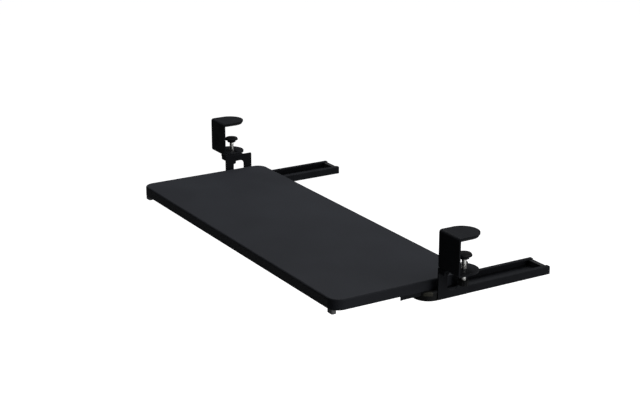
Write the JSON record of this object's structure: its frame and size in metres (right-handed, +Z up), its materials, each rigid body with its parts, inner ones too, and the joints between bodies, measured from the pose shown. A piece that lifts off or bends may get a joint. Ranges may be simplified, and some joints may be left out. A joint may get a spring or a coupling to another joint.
{
  "type": "under-desk keyboard tray",
  "caption": "Pull-out keyboard tray that slides on two side rails hung from screw clamps on the edge of a desk.",
  "frame": {"origin": "on the front edge of the desk top, level with its upper face, midway between the two clamps", "axes": "+X along the desk edge to the user's right, +Y from the user in under the desk, +Z up"},
  "size_m": [0.8148, 0.4064, 0.1194],
  "materials": {
    "black_laminate": "black satin laminate on a wood fibre board",
    "edge_band": "black satin edge band",
    "black_steel": "satin black powder coat",
    "zinc_steel": "bright zinc plate",
    "black_nylon": "moulded black nylon",
    "pale_nylon": "moulded grey nylon",
    "black_rubber": "matt rubber"
  },
  "bodies": {
    "desk_mount": {"left_clamp": "black_steel", "left_top_pad": "black_rubber", "left_screw_nut": "black_steel", "left_hanger": "black_steel", "left_hanger_bolts": "black_steel", "left_hanger_nuts": "black_steel", "left_rail": "black_steel", "left_front_guide": "black_nylon", "left_glide_inserts": "pale_nylon", "left_guide_screw": "zinc_steel", "left_end_stop": "black_rubber", "right_clamp": "black_steel", "right_top_pad": "black_rubber", "right_screw_nut": "black_steel", "right_hanger": "black_steel", "right_hanger_bolts": "black_steel", "right_hanger_nuts": "black_steel", "right_rail": "black_steel", "right_front_guide": "black_nylon", "right_glide_inserts": "pale_nylon", "right_guide_screw": "zinc_steel", "right_end_stop": "black_rubber"},
    "tray": {"tray_board": "black_laminate", "tray_edge_band": "edge_band", "left_runner": "black_steel", "left_runner_screws": "zinc_steel", "left_rear_shoe": "pale_nylon", "left_shoe_screws": "zinc_steel", "left_front_bumper": "black_rubber", "left_bumper_screw": "zinc_steel", "right_runner": "black_steel", "right_runner_screws": "zinc_steel", "right_rear_shoe": "pale_nylon", "right_shoe_screws": "zinc_steel", "right_front_bumper": "black_rubber", "right_bumper_screw": "zinc_steel"},
    "left_pad": {"left_pressure_cup": "black_steel", "left_cup_pad": "black_rubber"},
    "left_screw": {"left_clamp_screw": "zinc_steel", "left_screw_knob": "black_nylon"},
    "right_pad": {"right_pressure_cup": "black_steel", "right_cup_pad": "black_rubber"},
    "right_screw": {"right_clamp_screw": "zinc_steel", "right_screw_knob": "black_nylon"}
  },
  "joints": [
    {"name": "tray_slide", "type": "slide", "parent": "desk_mount", "child": "tray", "axis": [0, 1, 0], "range_m": [0, 0.1443]},
    {"name": "left_screw_lift", "type": "slide", "parent": "desk_mount", "child": "left_pad", "axis": [0, 0, 1], "range_m": [-0.01376, 0.01001]},
    {"name": "left_screw_turn", "type": "hinge", "parent": "left_pad", "child": "left_screw", "pos_m": [-0.3807, 0.0264, -0.0826], "axis": [0, 0, 1], "range_deg": [-3960, 2880]},
    {"name": "right_screw_lift", "type": "slide", "parent": "desk_mount", "child": "right_pad", "axis": [0, 0, 1], "range_m": [-0.01376, 0.01001]},
    {"name": "right_screw_turn", "type": "hinge", "parent": "right_pad", "child": "right_screw", "pos_m": [0.3807, 0.0264, -0.0826], "axis": [0, 0, 1], "range_deg": [-3960, 2880]}
  ],
  "couplings": [
    {"joint": "left_screw_lift", "follows": "left_screw_turn", "m_per_rad": 0.00019894},
    {"joint": "right_screw_lift", "follows": "right_screw_turn", "m_per_rad": 0.00019894}
  ]
}
